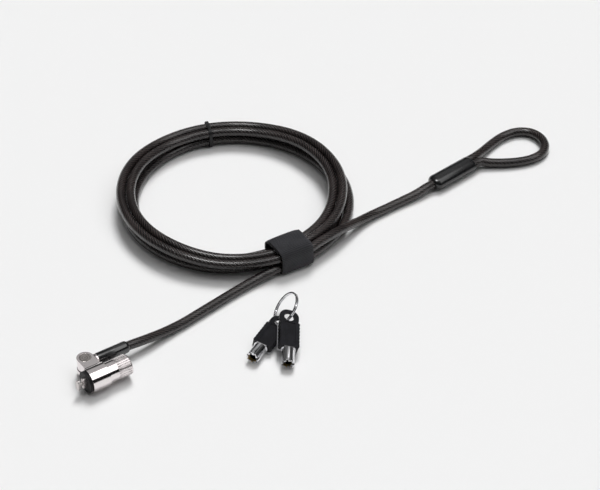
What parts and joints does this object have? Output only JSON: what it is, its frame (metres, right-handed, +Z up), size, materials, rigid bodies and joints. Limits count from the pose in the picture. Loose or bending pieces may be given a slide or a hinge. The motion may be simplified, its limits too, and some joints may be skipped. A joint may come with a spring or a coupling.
{
  "type": "laptop cable lock",
  "caption": "Keyed T-bar lock head on a swivel and pivot, with a coated steel cable coiled under a strap, an eye loop, and tubular keys on a ring.",
  "frame": {"origin": "on the floor, at the middle of the box round the lock head and the keys, the cable and what is on it left out", "axes": "-X out of the lock head's nose, along its axis; +Z up from the floor the object lies on; +Y towards the coil of cable"},
  "size_m": [0.329, 0.1955, 0.0155],
  "materials": {
    "chrome": "bright chrome plate",
    "satin_steel": "satin nickel plate",
    "steel": "plain bright steel",
    "brass": "machined brass",
    "aluminium": "swaged aluminium",
    "nose_black": "matte black",
    "gloss_black": "glossy black moulding",
    "cable_jacket": "smoky clear PVC over twisted steel rope",
    "strap_fabric": "black woven hook-and-loop",
    "tie_plastic": "matte black",
    "key_black": "matte black moulding"
  },
  "bodies": {
    "cable": {"cable_anchor": "chrome", "rope_end": "steel", "cable_boot": "gloss_black", "lock_side_cable": "cable_jacket", "cable_coil": "cable_jacket", "eye_side_cable": "cable_jacket", "coil_strap": "strap_fabric", "strap_overlap": "strap_fabric", "coil_tie": "tie_plastic", "eye_crimp": "aluminium", "ferrule_cover": "gloss_black", "eye_loop": "cable_jacket"},
    "swivel": {"swivel_ring": "chrome", "pivot_pin": "steel", "pivot_cap": "chrome"},
    "lock": {"lock_housing": "chrome", "nose_washer": "nose_black", "locator_plate": "satin_steel", "knurled_grip": "chrome", "pin_chamber": "brass", "chamber_dowel": "steel", "pin_springs": "steel"},
    "plug": {"lock_plug": "brass", "centre_post": "satin_steel", "t_bar": "satin_steel"},
    "drivers": {"driver_pins": "brass"},
    "key_pin_set": {"key_pins": "brass"},
    "ring": {"key_ring": "steel"},
    "key_1": {"key_1_barrel": "chrome", "key_1_back_plate": "steel", "key_1_head": "key_black"},
    "key_2": {"key_2_barrel": "chrome", "key_2_back_plate": "steel", "key_2_head": "key_black"}
  },
  "joints": [
    {"name": "cable_pivot", "type": "hinge", "parent": "cable", "child": "swivel", "pos_m": [-0.052, 0.0266, 0.0066], "axis": [0, 0, -1], "range_deg": [0, 180]},
    {"name": "head_swivel", "type": "hinge", "parent": "swivel", "child": "lock", "pos_m": [-0.052, 0.0146, 0.0066], "axis": [1, 0, 0], "continuous": true},
    {"name": "plug_turn", "type": "hinge", "parent": "lock", "child": "plug", "pos_m": [-0.0493, 0.0146, 0.0066], "axis": [1, 0, 0], "range_deg": [0, 90]},
    {"name": "driver_slide", "type": "slide", "parent": "lock", "child": "drivers", "axis": [1, 0, 0], "range_m": [0, 0.0012], "deforming": ["pin_springs"]},
    {"name": "key_pin_slide", "type": "slide", "parent": "plug", "child": "key_pin_set", "axis": [1, 0, 0], "range_m": [0, 0.0012]},
    {"name": "key_ring_lift", "type": "slide", "parent": "cable", "child": "ring", "axis": [0, 0, 1], "range_m": [0, 0.05]},
    {"name": "key_1_swing", "type": "hinge", "parent": "ring", "child": "key_1", "pos_m": [0.0532, -0.0039, 0.009], "axis": [0, 0, 1], "range_deg": [0, 60]},
    {"name": "key_2_swing", "type": "hinge", "parent": "ring", "child": "key_2", "pos_m": [0.0502, 0.00035, 0.0035], "axis": [0.0675, -0.1217, 0.9903], "range_deg": [-75, 0]}
  ],
  "couplings": [
    {"joint": "key_pin_slide", "follows": "driver_slide", "ratio": 1}
  ]
}
